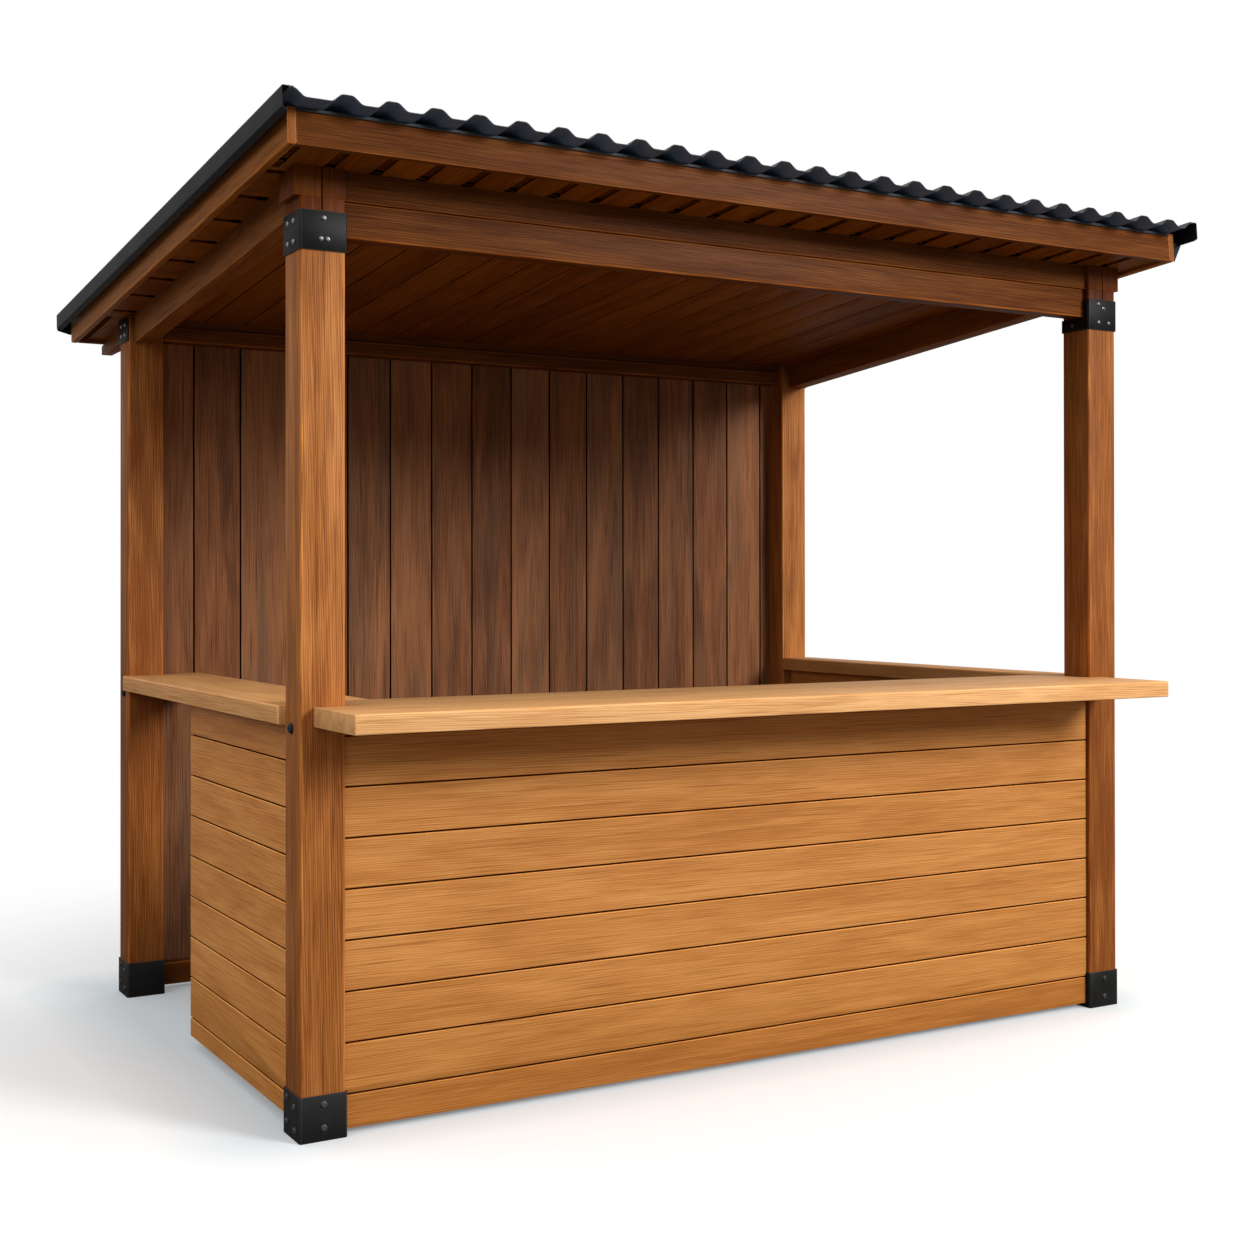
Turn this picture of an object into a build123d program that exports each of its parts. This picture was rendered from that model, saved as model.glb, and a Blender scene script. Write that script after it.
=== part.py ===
"""Market stall: an open timber frame with a serving counter under a single-pitch metal roof.

Millimetres, +Z up. The origin is on the ground below the middle of the bounding box, +X runs
to the right along the front and -Y points at the customers.
"""
from build123d import *
from math import cos, radians, sin, tan
import os

os.makedirs("parts", exist_ok=True)

# Timber frame
frame_width = 2850.0
frame_depth = 1880.0
post_size = 120.0
post_edge = 4.0
soffit_height = 2475.0
roof_pitch = 4.4

# Steel shoes, collars and brackets
plate_thickness = 4.0
shoe_height = 117.0
collar_height = 101.0
collar_seat = 42.0
bracket_height = 82.0
bracket_drop = 1.0
bracket_return = 18.0

# Head blocks and rafters
head_height = 79.0
head_overhang = 16.0
head_front_wall = 35.0
rafter_inset = 20.0
rafter_width = 65.0
rafter_depth = 97.0
tail_rise = 33.0
tail_projection = 23.0
tail_step = 10.0
tail_step_start = 160.0
tail_step_run = 60.0
tail_thickness = 38.0

# Front header and plate, back plate and rails
header_height = 94.0
header_recess = 22.0
header_thickness = 60.0
plate_recess = 15.0
plate_depth = 80.0
back_plate_height = 24.0
back_plate_depth = 60.0
top_rail_height = 50.0
top_rail_depth = 75.0
bottom_rail_height = 77.0
bottom_rail_depth = 45.0
wall_thickness = 20.0
wall_lift = 16.0

# Roof, measured along the slope from the posts' front faces and square to the slope
board_thickness = 20.0
purlin_height = 59.0
purlin_width = 45.0
purlin_count = 7
front_overhang = 175.0
back_overhang = 344.5
fascia_thickness = 23.0
fascia_drop = 13.0
side_overhang = 93.0
sheet_overhang = 69.0

# Corrugated sheet
sheet_thickness = 2.0
ridge_count = 25
ridge_pitch = 117.4
ridge_shift = 21.0
ridge_height = 20.0
ridge_top = 30.0
ridge_flank = 23.0
sheet_corner = 18.0
sheet_side_overhang = 110.0

# Folded metal trims
trim_thickness = 2.0
verge_reach = 129.0
verge_leg = 50.0
verge_return = 8.0
verge_lip = 14.0
verge_lap = 12.0
verge_bend = 4.0
front_end_plate = 63.0
back_end_plate = 20.0
drip_drop = 5.0
drip_kick = 5.0
drip_hem = 3.0

# Counter and side shelves
top_height = 1100.0
top_thickness = 50.0
top_edge = 3.0
counter_front = 293.0
counter_back = 215.0
counter_left_inset = 34.0
counter_right_inset = 68.0
shelf_overhang = 20.0
left_shelf_width = 290.0
right_shelf_width = 140.0

# Panels under the counter and the shelves
panel_thickness = 20.0
front_panel_recess = 15.0
front_panel_lift = 16.0
side_panel_recess = 12.0
side_panel_lift = 36.0
left_panel_end = 1040.0
rail_height = 70.0
frame_timber = 45.0
front_stud_count = 3
side_stud_count = 2

# Clearance between pieces that only stand next to each other
fit_gap = 0.3

# Places worked out from the sizes above
pitch = radians(roof_pitch)
front_post_height = soffit_height - head_height
header_bottom = front_post_height - header_height
collar_bottom = header_bottom - collar_seat
fascia_back = frame_depth / cos(pitch) + back_overhang
sheet_front = front_overhang + sheet_overhang
sheet_back = fascia_back + sheet_overhang
purlin_top = board_thickness + purlin_height
sheet_top = purlin_top + sheet_thickness + ridge_height
verge_top = sheet_top + trim_thickness
roof_back_reach = sheet_back * cos(pitch) + verge_top * sin(pitch)
front_y = (counter_front - roof_back_reach) / 2
back_y = front_y + frame_depth
outer_x = frame_width / 2
inner_x = outer_x - post_size
post_x = outer_x - post_size / 2
front_post_y = front_y + post_size / 2
back_post_y = back_y - post_size / 2
wall_y = back_y - wall_thickness
rafter_x = outer_x - rafter_inset - rafter_width / 2
barge_outer_x = outer_x + side_overhang
barge_inner_x = barge_outer_x - fascia_thickness
fascia_inner_front = -front_overhang + fascia_thickness
fascia_inner_back = fascia_back - fascia_thickness
post_middle = post_size / 2 / cos(pitch)
back_post_middle = (frame_depth - post_size / 2) / cos(pitch)

# Planes of the roof: flat on the slope, across it along X, and along it towards the front
roof_plane = Plane(origin=(0, front_y, soffit_height), x_dir=(1, 0, 0), z_dir=(0, sin(pitch), cos(pitch)))
slope_section = Plane(origin=roof_plane.origin, x_dir=roof_plane.y_dir, z_dir=(1, 0, 0))
width_section = Plane(origin=roof_plane.origin, x_dir=(1, 0, 0), z_dir=-roof_plane.y_dir)

roof_normal = Axis(roof_plane.origin, roof_plane.z_dir)
roof_slope = Axis(roof_plane.origin, roof_plane.y_dir)

sides = (("left", -1), ("right", 1))
shoe_size = post_size + 2 * plate_thickness
post_places = [(sign * post_x, y) for side, sign in sides for y in (front_post_y, back_post_y)]

# Footprint that the panels, rails and walls leave free for the shoes
with BuildSketch() as shoe_space:
    with Locations(*post_places):
        Rectangle(shoe_size + 2 * fit_gap, shoe_size + 2 * fit_gap)


def soffit_at(distance):
    """Height of the ceiling's underside at a distance behind the posts' front faces."""
    return soffit_height - distance * tan(pitch)


def roof_point(along, above):
    """Y and Z of a point given along the slope and square to it."""
    y = front_y + along * cos(pitch) + above * sin(pitch)
    z = soffit_height - along * sin(pitch) + above * cos(pitch)
    return (y, z)


def underside_at(distance):
    """Height of the rafters' underside at a distance behind the posts' front faces."""
    return soffit_at(distance) - rafter_depth / cos(pitch)


back_plate_bottom = soffit_at(frame_depth - wall_thickness) - back_plate_height
bracket_bottom = soffit_at(frame_depth + plate_thickness) - bracket_drop - bracket_height
tail_top = underside_at(frame_depth) + tail_rise
tail_end = roof_point(fascia_back + tail_projection, -fascia_drop)

# Posts: the front pair ends under the head blocks, the back pair is slotted for the rafters
for side, sign in sides:
    with BuildPart() as front_post:
        with BuildSketch(Plane.XY.offset(plate_thickness)):
            with Locations((sign * post_x, front_post_y)):
                Rectangle(post_size, post_size)
        extrude(amount=front_post_height - plate_thickness)
        chamfer(front_post.edges().filter_by(Axis.Z), post_edge)
    front_post.part.label = f"post_front_{side}"
    export_step(front_post.part, f"parts/post_front_{side}.step")

    with BuildPart() as back_post:
        with BuildSketch(Plane.XY.offset(plate_thickness)):
            with Locations((sign * post_x, back_post_y)):
                Rectangle(post_size, post_size)
        extrude(amount=soffit_height)
        chamfer(back_post.edges().filter_by(Axis.Z), post_edge)
        split(bisect_by=roof_plane, keep=Keep.BOTTOM)
        with BuildSketch(slope_section.offset(sign * rafter_x)):
            with Locations((back_post_middle, 0)):
                Rectangle(2 * post_size, 2 * rafter_depth)
        extrude(amount=rafter_width / 2, both=True, mode=Mode.SUBTRACT)
    back_post.part.label = f"post_back_{side}"
    export_step(back_post.part, f"parts/post_back_{side}.step")

# Shoes: a steel tray under each post
for side, sign in sides:
    for end, post_y in (("front", front_post_y), ("back", back_post_y)):
        with BuildPart() as shoe:
            with BuildSketch():
                with Locations((sign * post_x, post_y)):
                    Rectangle(shoe_size, shoe_size)
            extrude(amount=shoe_height)
            chamfer(shoe.edges().filter_by(Axis.Z), post_edge)
            with BuildSketch(Plane.XY.offset(plate_thickness)):
                with Locations((sign * post_x, post_y)):
                    Rectangle(post_size, post_size)
            extrude(amount=shoe_height, mode=Mode.SUBTRACT)
        shoe.part.label = f"shoe_{end}_{side}"
        export_step(shoe.part, f"parts/shoe_{end}_{side}.step")

# Collars: a sleeve on each front post, cut back on the inside to carry the header
for side, sign in sides:
    with BuildPart() as collar:
        with BuildSketch(Plane.XY.offset(collar_bottom)):
            with Locations((sign * post_x, front_post_y)):
                Rectangle(shoe_size, shoe_size)
        extrude(amount=collar_height)
        chamfer(collar.edges().filter_by(Axis.Z), post_edge)
        with BuildSketch(Plane.XY.offset(collar_bottom)):
            with Locations((sign * post_x, front_post_y)):
                Rectangle(post_size, post_size)
        extrude(amount=collar_height, mode=Mode.SUBTRACT)
        with BuildSketch(Plane.XY.offset(header_bottom)):
            with Locations((sign * inner_x, front_y + header_recess)):
                Rectangle(4 * plate_thickness, post_size, align=(Align.CENTER, Align.MIN))
        extrude(amount=collar_height, mode=Mode.SUBTRACT)
    collar.part.label = f"collar_{side}"
    export_step(collar.part, f"parts/collar_{side}.step")

# Brackets: an angle plate on the outer ear of each back post
for side, sign in sides:
    with BuildPart() as bracket:
        with BuildSketch(Plane.XY.offset(bracket_bottom)):
            with Locations((sign * (outer_x + plate_thickness / 2), back_post_y + plate_thickness / 2)):
                Rectangle(plate_thickness, post_size + plate_thickness)
            with Locations((sign * (outer_x + plate_thickness), back_y)):
                Rectangle(
                    bracket_return + plate_thickness,
                    plate_thickness,
                    align=(Align.MAX if sign > 0 else Align.MIN, Align.MIN),
                )
        extrude(amount=bracket_height)
    bracket.part.label = f"bracket_{side}"
    export_step(bracket.part, f"parts/bracket_{side}.step")

# Head blocks on the front posts, each with a pocket that houses its rafter's end
with BuildPart() as heads:
    for side, sign in sides:
        with BuildSketch(Plane.XY.offset(front_post_height)):
            with Locations((sign * inner_x, front_post_y)):
                Rectangle(
                    post_size + head_overhang,
                    post_size,
                    align=(Align.MIN if sign > 0 else Align.MAX, Align.CENTER),
                )
            with Locations((sign * rafter_x, front_y + head_front_wall)):
                Rectangle(rafter_width, post_size, align=(Align.CENTER, Align.MIN), mode=Mode.SUBTRACT)
        extrude(amount=post_size)
    split(bisect_by=roof_plane, keep=Keep.BOTTOM)
heads.part.label = "front_post_heads"
export_step(heads.part, "parts/front_post_heads.step")

# Rafters: they sit on the front posts, pass through the back posts and end in a stepped tail
for side, sign in sides:
    rafter_front = head_front_wall + fit_gap
    rafter_shoulder = post_size
    tail_inner_x = rafter_x - rafter_width / 2
    with BuildPart() as rafter:
        with BuildSketch(Plane.YZ.offset(sign * rafter_x)):
            with BuildLine():
                Polyline(
                    (front_y + rafter_front, front_post_height),
                    (front_y + rafter_front, soffit_at(rafter_front)),
                    roof_point(fascia_inner_back, 0),
                    roof_point(fascia_inner_back, -fascia_drop),
                    tail_end,
                    (tail_end[0], tail_top - tail_step),
                    (back_y + tail_step_start + tail_step_run, tail_top - tail_step),
                    (back_y + tail_step_start, tail_top),
                    (back_y, tail_top),
                    (back_y, underside_at(frame_depth)),
                    (front_y + rafter_shoulder, underside_at(rafter_shoulder)),
                    (front_y + rafter_shoulder, front_post_height),
                    close=True,
                )
            make_face()
        extrude(amount=rafter_width / 2, both=True)
        with BuildSketch(Plane.XY.offset(tail_top - tail_step)):
            with Locations((sign * tail_inner_x, back_y)):
                Rectangle(2 * (rafter_width - tail_thickness), 2 * back_overhang, align=(Align.CENTER, Align.MIN))
        extrude(amount=2 * post_size, mode=Mode.SUBTRACT)
    rafter.part.label = f"{side}_rafter"
    export_step(rafter.part, f"parts/{side}_rafter.step")

# Front header between the posts, carried by the collars
with BuildPart() as header:
    with BuildSketch(Plane.XY.offset(header_bottom)):
        with Locations((0, front_y + header_recess)):
            Rectangle(2 * inner_x, header_thickness, align=(Align.CENTER, Align.MIN))
    extrude(amount=front_post_height - header_bottom)
    chamfer(header.edges().filter_by(Axis.X), top_edge)
header.part.label = "front_header"
export_step(header.part, "parts/front_header.step")

# Front plate between the head blocks, its top cut to the slope
with BuildPart() as front_plate:
    with BuildSketch(Plane.XY.offset(front_post_height)):
        with Locations((0, front_y + plate_recess)):
            Rectangle(2 * inner_x, plate_depth, align=(Align.CENTER, Align.MIN))
    extrude(amount=post_size)
    split(bisect_by=roof_plane, keep=Keep.BOTTOM)
front_plate.part.label = "front_plate"
export_step(front_plate.part, "parts/front_plate.step")

# Back plate and the rails that the wall boards are fixed to
with BuildPart() as back_plate:
    with BuildSketch(Plane.XY.offset(back_plate_bottom)):
        with Locations((0, wall_y)):
            Rectangle(2 * inner_x, back_plate_depth, align=(Align.CENTER, Align.MAX))
    extrude(amount=post_size)
    split(bisect_by=roof_plane, keep=Keep.BOTTOM)
back_plate.part.label = "back_plate"
export_step(back_plate.part, "parts/back_plate.step")

with BuildPart() as top_rail:
    with BuildSketch(Plane.XY.offset(back_plate_bottom - top_rail_height)):
        with Locations((0, wall_y)):
            Rectangle(2 * inner_x, top_rail_depth, align=(Align.CENTER, Align.MAX))
    extrude(amount=top_rail_height)
    chamfer(top_rail.edges().filter_by(Axis.X), top_edge)
top_rail.part.label = "back_top_rail"
export_step(top_rail.part, "parts/back_top_rail.step")

with BuildPart() as bottom_rail:
    with BuildSketch(Plane.XY.offset(wall_lift)):
        with Locations((0, wall_y)):
            Rectangle(2 * inner_x, bottom_rail_depth, align=(Align.CENTER, Align.MAX))
    extrude(amount=bottom_rail_height)
    chamfer(bottom_rail.edges().filter_by(Axis.X), top_edge)
    extrude(shoe_space.sketch, amount=shoe_height + fit_gap, mode=Mode.SUBTRACT)
bottom_rail.part.label = "back_bottom_rail"
export_step(bottom_rail.part, "parts/back_bottom_rail.step")

# Back wall between the back posts
with BuildPart() as back_wall:
    with BuildSketch(Plane.XY.offset(wall_lift)):
        with Locations((0, back_y)):
            Rectangle(2 * inner_x, wall_thickness, align=(Align.CENTER, Align.MAX))
    extrude(amount=soffit_height)
    split(bisect_by=roof_plane, keep=Keep.BOTTOM)
    extrude(shoe_space.sketch, amount=shoe_height + fit_gap, mode=Mode.SUBTRACT)
back_wall.part.label = "back_wall"
export_step(back_wall.part, "parts/back_wall.step")

# Ceiling between the rafters, and the boards under each overhang
with BuildPart() as ceiling:
    with BuildSketch(roof_plane):
        with Locations((0, post_middle + fit_gap)):
            Rectangle(
                2 * (rafter_x - fit_gap),
                back_post_middle - post_middle - fit_gap,
                align=(Align.CENTER, Align.MIN),
            )
    extrude(amount=board_thickness)
ceiling.part.label = "ceiling"
export_step(ceiling.part, "parts/ceiling.step")

with BuildPart() as front_soffit:
    with BuildSketch(roof_plane):
        with Locations((0, fascia_inner_front)):
            Rectangle(2 * barge_inner_x, post_middle - fascia_inner_front, align=(Align.CENTER, Align.MIN))
    extrude(amount=board_thickness)
front_soffit.part.label = "front_soffit"
export_step(front_soffit.part, "parts/front_soffit.step")

with BuildPart() as back_soffit:
    with BuildSketch(roof_plane):
        with Locations((0, fascia_inner_back)):
            Rectangle(
                2 * barge_inner_x,
                fascia_inner_back - back_post_middle - fit_gap,
                align=(Align.CENTER, Align.MAX),
            )
    extrude(amount=board_thickness)
back_soffit.part.label = "back_soffit"
export_step(back_soffit.part, "parts/back_soffit.step")

for side, sign in sides:
    with BuildPart() as side_soffit:
        with BuildSketch(roof_plane):
            with Locations((sign * rafter_x, post_middle + fit_gap)):
                Rectangle(
                    barge_inner_x - rafter_x,
                    back_post_middle - post_middle - fit_gap,
                    align=(Align.MIN if sign > 0 else Align.MAX, Align.MIN),
                )
        extrude(amount=board_thickness)
    side_soffit.part.label = f"{side}_soffit"
    export_step(side_soffit.part, f"parts/{side}_soffit.step")

# Purlins across the boards, from the front fascia to the back one
purlin_run = fascia_inner_back - fascia_inner_front - purlin_width
with BuildPart() as purlins:
    with BuildSketch(roof_plane.offset(board_thickness)):
        with Locations((0, (fascia_inner_front + fascia_inner_back) / 2)):
            with GridLocations(0, purlin_run / (purlin_count - 1), 1, purlin_count):
                Rectangle(2 * barge_inner_x, purlin_width)
    extrude(amount=purlin_height)
purlins.part.label = "purlins"
export_step(purlins.part, "parts/purlins.step")

# Fascias between the barge boards, under the drip trims
fascia_top = purlin_top - trim_thickness
for end, fascia_y in (("front", -front_overhang + fascia_thickness / 2), ("back", fascia_back - fascia_thickness / 2)):
    with BuildPart() as fascia:
        with BuildSketch(roof_plane.offset(-fascia_drop)):
            with Locations((0, fascia_y)):
                Rectangle(2 * barge_inner_x, fascia_thickness)
        extrude(amount=fascia_top + fascia_drop)
        chamfer(fascia.edges().filter_by(Axis.X).group_by(Axis.Z)[0], top_edge)
    fascia.part.label = f"{end}_fascia"
    export_step(fascia.part, f"parts/{end}_fascia.step")

# Barge boards along both verges
for side, sign in sides:
    with BuildPart() as barge:
        with BuildSketch(slope_section.offset(sign * (barge_inner_x + fascia_thickness / 2))):
            with Locations((-front_overhang, -fascia_drop)):
                Rectangle(front_overhang + fascia_back, purlin_top + fascia_drop, align=(Align.MIN, Align.MIN))
        extrude(amount=fascia_thickness / 2, both=True)
        chamfer(barge.edges().filter_by(roof_slope).group_by(roof_normal)[0], top_edge)
    barge.part.label = f"{side}_barge_board"
    export_step(barge.part, f"parts/{side}_barge_board.step")

# Corrugated sheet: rounded trapezoid ridges, drawn once across the roof and run down the slope
sheet_edge_x = outer_x + sheet_side_overhang
sheet_valley = purlin_top + sheet_thickness / 2
sheet_crown = sheet_valley + ridge_height
ridge_foot = ridge_top / 2 + ridge_flank
with BuildPart() as sheet:
    with BuildSketch(width_section.offset(-sheet_back)):
        with BuildLine():
            profile = [
                (-sheet_edge_x, sheet_crown),
                (-sheet_edge_x + ridge_top / 2, sheet_crown),
                (-sheet_edge_x + ridge_foot, sheet_valley),
            ]
            for number in range(ridge_count):
                ridge_x = ridge_shift + (number - (ridge_count - 1) / 2) * ridge_pitch
                profile.append((ridge_x - ridge_foot, sheet_valley))
                profile.append((ridge_x - ridge_top / 2, sheet_crown))
                profile.append((ridge_x + ridge_top / 2, sheet_crown))
                profile.append((ridge_x + ridge_foot, sheet_valley))
            profile.append((sheet_edge_x - ridge_foot, sheet_valley))
            profile.append((sheet_edge_x - ridge_top / 2, sheet_crown))
            profile.append((sheet_edge_x, sheet_crown))
            FilletPolyline(*profile, radius=sheet_corner)
        trace(line_width=sheet_thickness)
    extrude(amount=sheet_back + sheet_front)
sheet.part.label = "roof_sheet"
export_step(sheet.part, "parts/roof_sheet.step")

# Verge flashings: a cap on the last ridge, an outer leg and a lip turned in under it, with small
# plates that close the space between leg and barge board
cap_height = sheet_top + trim_thickness / 2
leg_x = outer_x + verge_reach - trim_thickness / 2
lip_x = leg_x - verge_lip
cap_x = sheet_edge_x - verge_lap
front_plate_end = (-front_overhang, barge_outer_x, verge_leg, front_end_plate)
back_plate_end = (sheet_back - trim_thickness, barge_outer_x - verge_lap, purlin_top, back_end_plate)
for side, sign, ends in (("left", -1, (back_plate_end,)), ("right", 1, (front_plate_end, back_plate_end))):
    with BuildPart() as verge:
        with BuildSketch(width_section.offset(-sheet_back)):
            with BuildLine():
                FilletPolyline(
                    (sign * cap_x, cap_height),
                    (sign * leg_x, cap_height),
                    (sign * leg_x, verge_leg),
                    (sign * lip_x, verge_leg - verge_return),
                    radius=verge_bend,
                )
            trace(line_width=trim_thickness)
        extrude(amount=sheet_back + sheet_front)
        for plate_start, plate_inner, plate_top, plate_drop in ends:
            with BuildSketch(width_section.offset(-plate_start - trim_thickness)):
                with BuildLine():
                    Polyline(
                        (sign * plate_inner, plate_top),
                        (sign * (leg_x + trim_thickness / 2), plate_top + verge_bend),
                        (sign * (leg_x + trim_thickness / 2), verge_leg),
                        (sign * (leg_x + trim_thickness / 2 - verge_bend), verge_leg - verge_return),
                        (sign * plate_inner, verge_leg - plate_drop),
                        close=True,
                    )
                make_face()
            extrude(amount=trim_thickness)
    verge.part.label = f"{side}_verge_flashing"
    export_step(verge.part, f"parts/{side}_verge_flashing.step")

# Drip trims over the fascias: a top leg under the sheet, a drop and a kicked-out hem
for end, fascia_face, outward in (("front", -front_overhang, -1), ("back", fascia_back, 1)):
    drip_y = fascia_face + outward * trim_thickness / 2
    drip_height = fascia_top + trim_thickness / 2
    with BuildPart() as drip:
        with BuildSketch(slope_section.offset(-barge_inner_x)):
            with BuildLine():
                Polyline(
                    (fascia_face - outward * fascia_thickness, drip_height),
                    (drip_y, drip_height),
                    (drip_y, drip_height - drip_drop),
                    (drip_y + outward * drip_kick, drip_height - drip_drop - drip_hem),
                )
            trace(line_width=trim_thickness)
        extrude(amount=2 * barge_inner_x)
    drip.part.label = f"{end}_drip_trim"
    export_step(drip.part, f"parts/{end}_drip_trim.step")

# Counter top, notched round the front posts
with BuildPart() as counter:
    with BuildSketch(Plane.XY.offset(top_height - top_thickness)):
        with BuildLine():
            Polyline(
                (-outer_x + counter_left_inset, front_y - counter_front),
                (outer_x - counter_right_inset, front_y - counter_front),
                (outer_x - counter_right_inset, front_y - fit_gap),
                (inner_x - fit_gap, front_y - fit_gap),
                (inner_x - fit_gap, front_y + counter_back),
                (-inner_x + fit_gap, front_y + counter_back),
                (-inner_x + fit_gap, front_y - fit_gap),
                (-outer_x + counter_left_inset, front_y - fit_gap),
                close=True,
            )
        make_face()
    extrude(amount=top_thickness)
    chamfer(counter.faces().sort_by(Axis.Y)[0].edges(), top_edge)
counter.part.label = "counter_top"
export_step(counter.part, "parts/counter_top.step")

# Left shelf, between the posts outside and on past them to the counter and the wall inside
shelf_outer_x = outer_x + shelf_overhang
left_inner_x = shelf_outer_x - left_shelf_width
with BuildPart() as left_shelf:
    with BuildSketch(Plane.XY.offset(top_height - top_thickness)):
        with BuildLine():
            Polyline(
                (-shelf_outer_x, front_y + post_size + fit_gap),
                (-inner_x + fit_gap, front_y + post_size + fit_gap),
                (-inner_x + fit_gap, front_y + counter_back + fit_gap),
                (-left_inner_x, front_y + counter_back + fit_gap),
                (-left_inner_x, wall_y - fit_gap),
                (-inner_x + fit_gap, wall_y - fit_gap),
                (-inner_x + fit_gap, back_y - post_size - fit_gap),
                (-shelf_outer_x, back_y - post_size - fit_gap),
                close=True,
            )
        make_face()
    extrude(amount=top_thickness)
    chamfer(left_shelf.faces().sort_by(Axis.X)[0].edges(), top_edge)
left_shelf.part.label = "left_shelf"
export_step(left_shelf.part, "parts/left_shelf.step")

# Right shelf, a plain plank between the right posts
with BuildPart() as right_shelf:
    with BuildSketch(Plane.XY.offset(top_height - top_thickness)):
        with Locations((shelf_outer_x, front_y + frame_depth / 2)):
            Rectangle(
                right_shelf_width,
                frame_depth - 2 * (post_size + fit_gap),
                align=(Align.MAX, Align.CENTER),
            )
    extrude(amount=top_thickness)
    chamfer(right_shelf.edges().filter_by(Axis.Y), top_edge)
right_shelf.part.label = "right_shelf"
export_step(right_shelf.part, "parts/right_shelf.step")

# Boarded panels under the counter and the shelves
panel_top = top_height - top_thickness
with BuildPart() as front_panel:
    with BuildSketch(Plane.XY.offset(front_panel_lift)):
        with Locations((0, front_y + front_panel_recess)):
            Rectangle(2 * inner_x, panel_thickness, align=(Align.CENTER, Align.MIN))
    extrude(amount=panel_top - front_panel_lift)
    extrude(shoe_space.sketch, amount=shoe_height + fit_gap, mode=Mode.SUBTRACT)
front_panel.part.label = "front_panel"
export_step(front_panel.part, "parts/front_panel.step")

panel_x = outer_x - side_panel_recess - panel_thickness / 2
side_ends = (("left", -1, left_panel_end), ("right", 1, frame_depth - post_size))
for side, sign, panel_end in side_ends:
    with BuildPart() as side_panel:
        with BuildSketch(Plane.XY.offset(side_panel_lift)):
            with Locations((sign * panel_x, front_y + post_size)):
                Rectangle(panel_thickness, panel_end - post_size, align=(Align.CENTER, Align.MIN))
        extrude(amount=panel_top - side_panel_lift)
        extrude(shoe_space.sketch, amount=shoe_height + fit_gap, mode=Mode.SUBTRACT)
    side_panel.part.label = f"{side}_panel"
    export_step(side_panel.part, f"parts/{side}_panel.step")

# Stud frames behind the panels: two rails with studs between them
stud_bottom = rail_height + fit_gap
front_frame_y = front_y + front_panel_recess + panel_thickness + frame_timber / 2
with BuildPart() as front_frame:
    with BuildSketch(Plane.XY.offset(front_panel_lift)):
        with Locations((0, front_frame_y)):
            Rectangle(2 * inner_x, frame_timber)
    extrude(amount=rail_height)
    with BuildSketch(Plane.XY.offset(panel_top - rail_height)):
        with Locations((0, front_frame_y)):
            Rectangle(2 * inner_x, frame_timber)
    extrude(amount=rail_height)
    with BuildSketch(Plane.XY.offset(front_panel_lift + stud_bottom)):
        with Locations((0, front_frame_y)):
            with GridLocations(2 * inner_x / (front_stud_count + 1), 0, front_stud_count, 1):
                Rectangle(frame_timber, frame_timber)
    extrude(amount=panel_top - front_panel_lift - 2 * stud_bottom)
    extrude(shoe_space.sketch, amount=shoe_height + fit_gap, mode=Mode.SUBTRACT)
front_frame.part.label = "front_panel_frame"
export_step(front_frame.part, "parts/front_panel_frame.step")

side_frame_x = outer_x - side_panel_recess - panel_thickness - frame_timber / 2
for side, sign, panel_end in side_ends:
    frame_run = panel_end - post_size
    with BuildPart() as side_frame:
        with BuildSketch(Plane.XY.offset(side_panel_lift)):
            with Locations((sign * side_frame_x, front_y + post_size)):
                Rectangle(frame_timber, frame_run, align=(Align.CENTER, Align.MIN))
        extrude(amount=rail_height)
        with BuildSketch(Plane.XY.offset(panel_top - rail_height)):
            with Locations((sign * side_frame_x, front_y + post_size)):
                Rectangle(frame_timber, frame_run, align=(Align.CENTER, Align.MIN))
        extrude(amount=rail_height)
        with BuildSketch(Plane.XY.offset(side_panel_lift + stud_bottom)):
            for number in range(side_stud_count):
                stud_y = front_y + post_size + (number + 1) * frame_run / side_stud_count
                with Locations((sign * side_frame_x, stud_y)):
                    Rectangle(frame_timber, frame_timber, align=(Align.CENTER, Align.MAX))
        extrude(amount=panel_top - side_panel_lift - 2 * stud_bottom)
        extrude(shoe_space.sketch, amount=shoe_height + fit_gap, mode=Mode.SUBTRACT)
    side_frame.part.label = f"{side}_panel_frame"
    export_step(side_frame.part, f"parts/{side}_panel_frame.step")
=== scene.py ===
# %% [markdown]
# # A timber market stall, dressed for its portrait
# The CAD gives every post, beam, sheet and panel at its real size. This lesson dresses them:
# solid timber gets eased edges and grain, the slabs of wall, ceiling and panels are cut into
# boards, the steel gets its bolts, and the whole is lit like a catalogue picture.

# %% Load the CAD frame
import bisect
import math
import random

import bmesh
import bpy
from mathutils import Matrix, Vector


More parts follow.
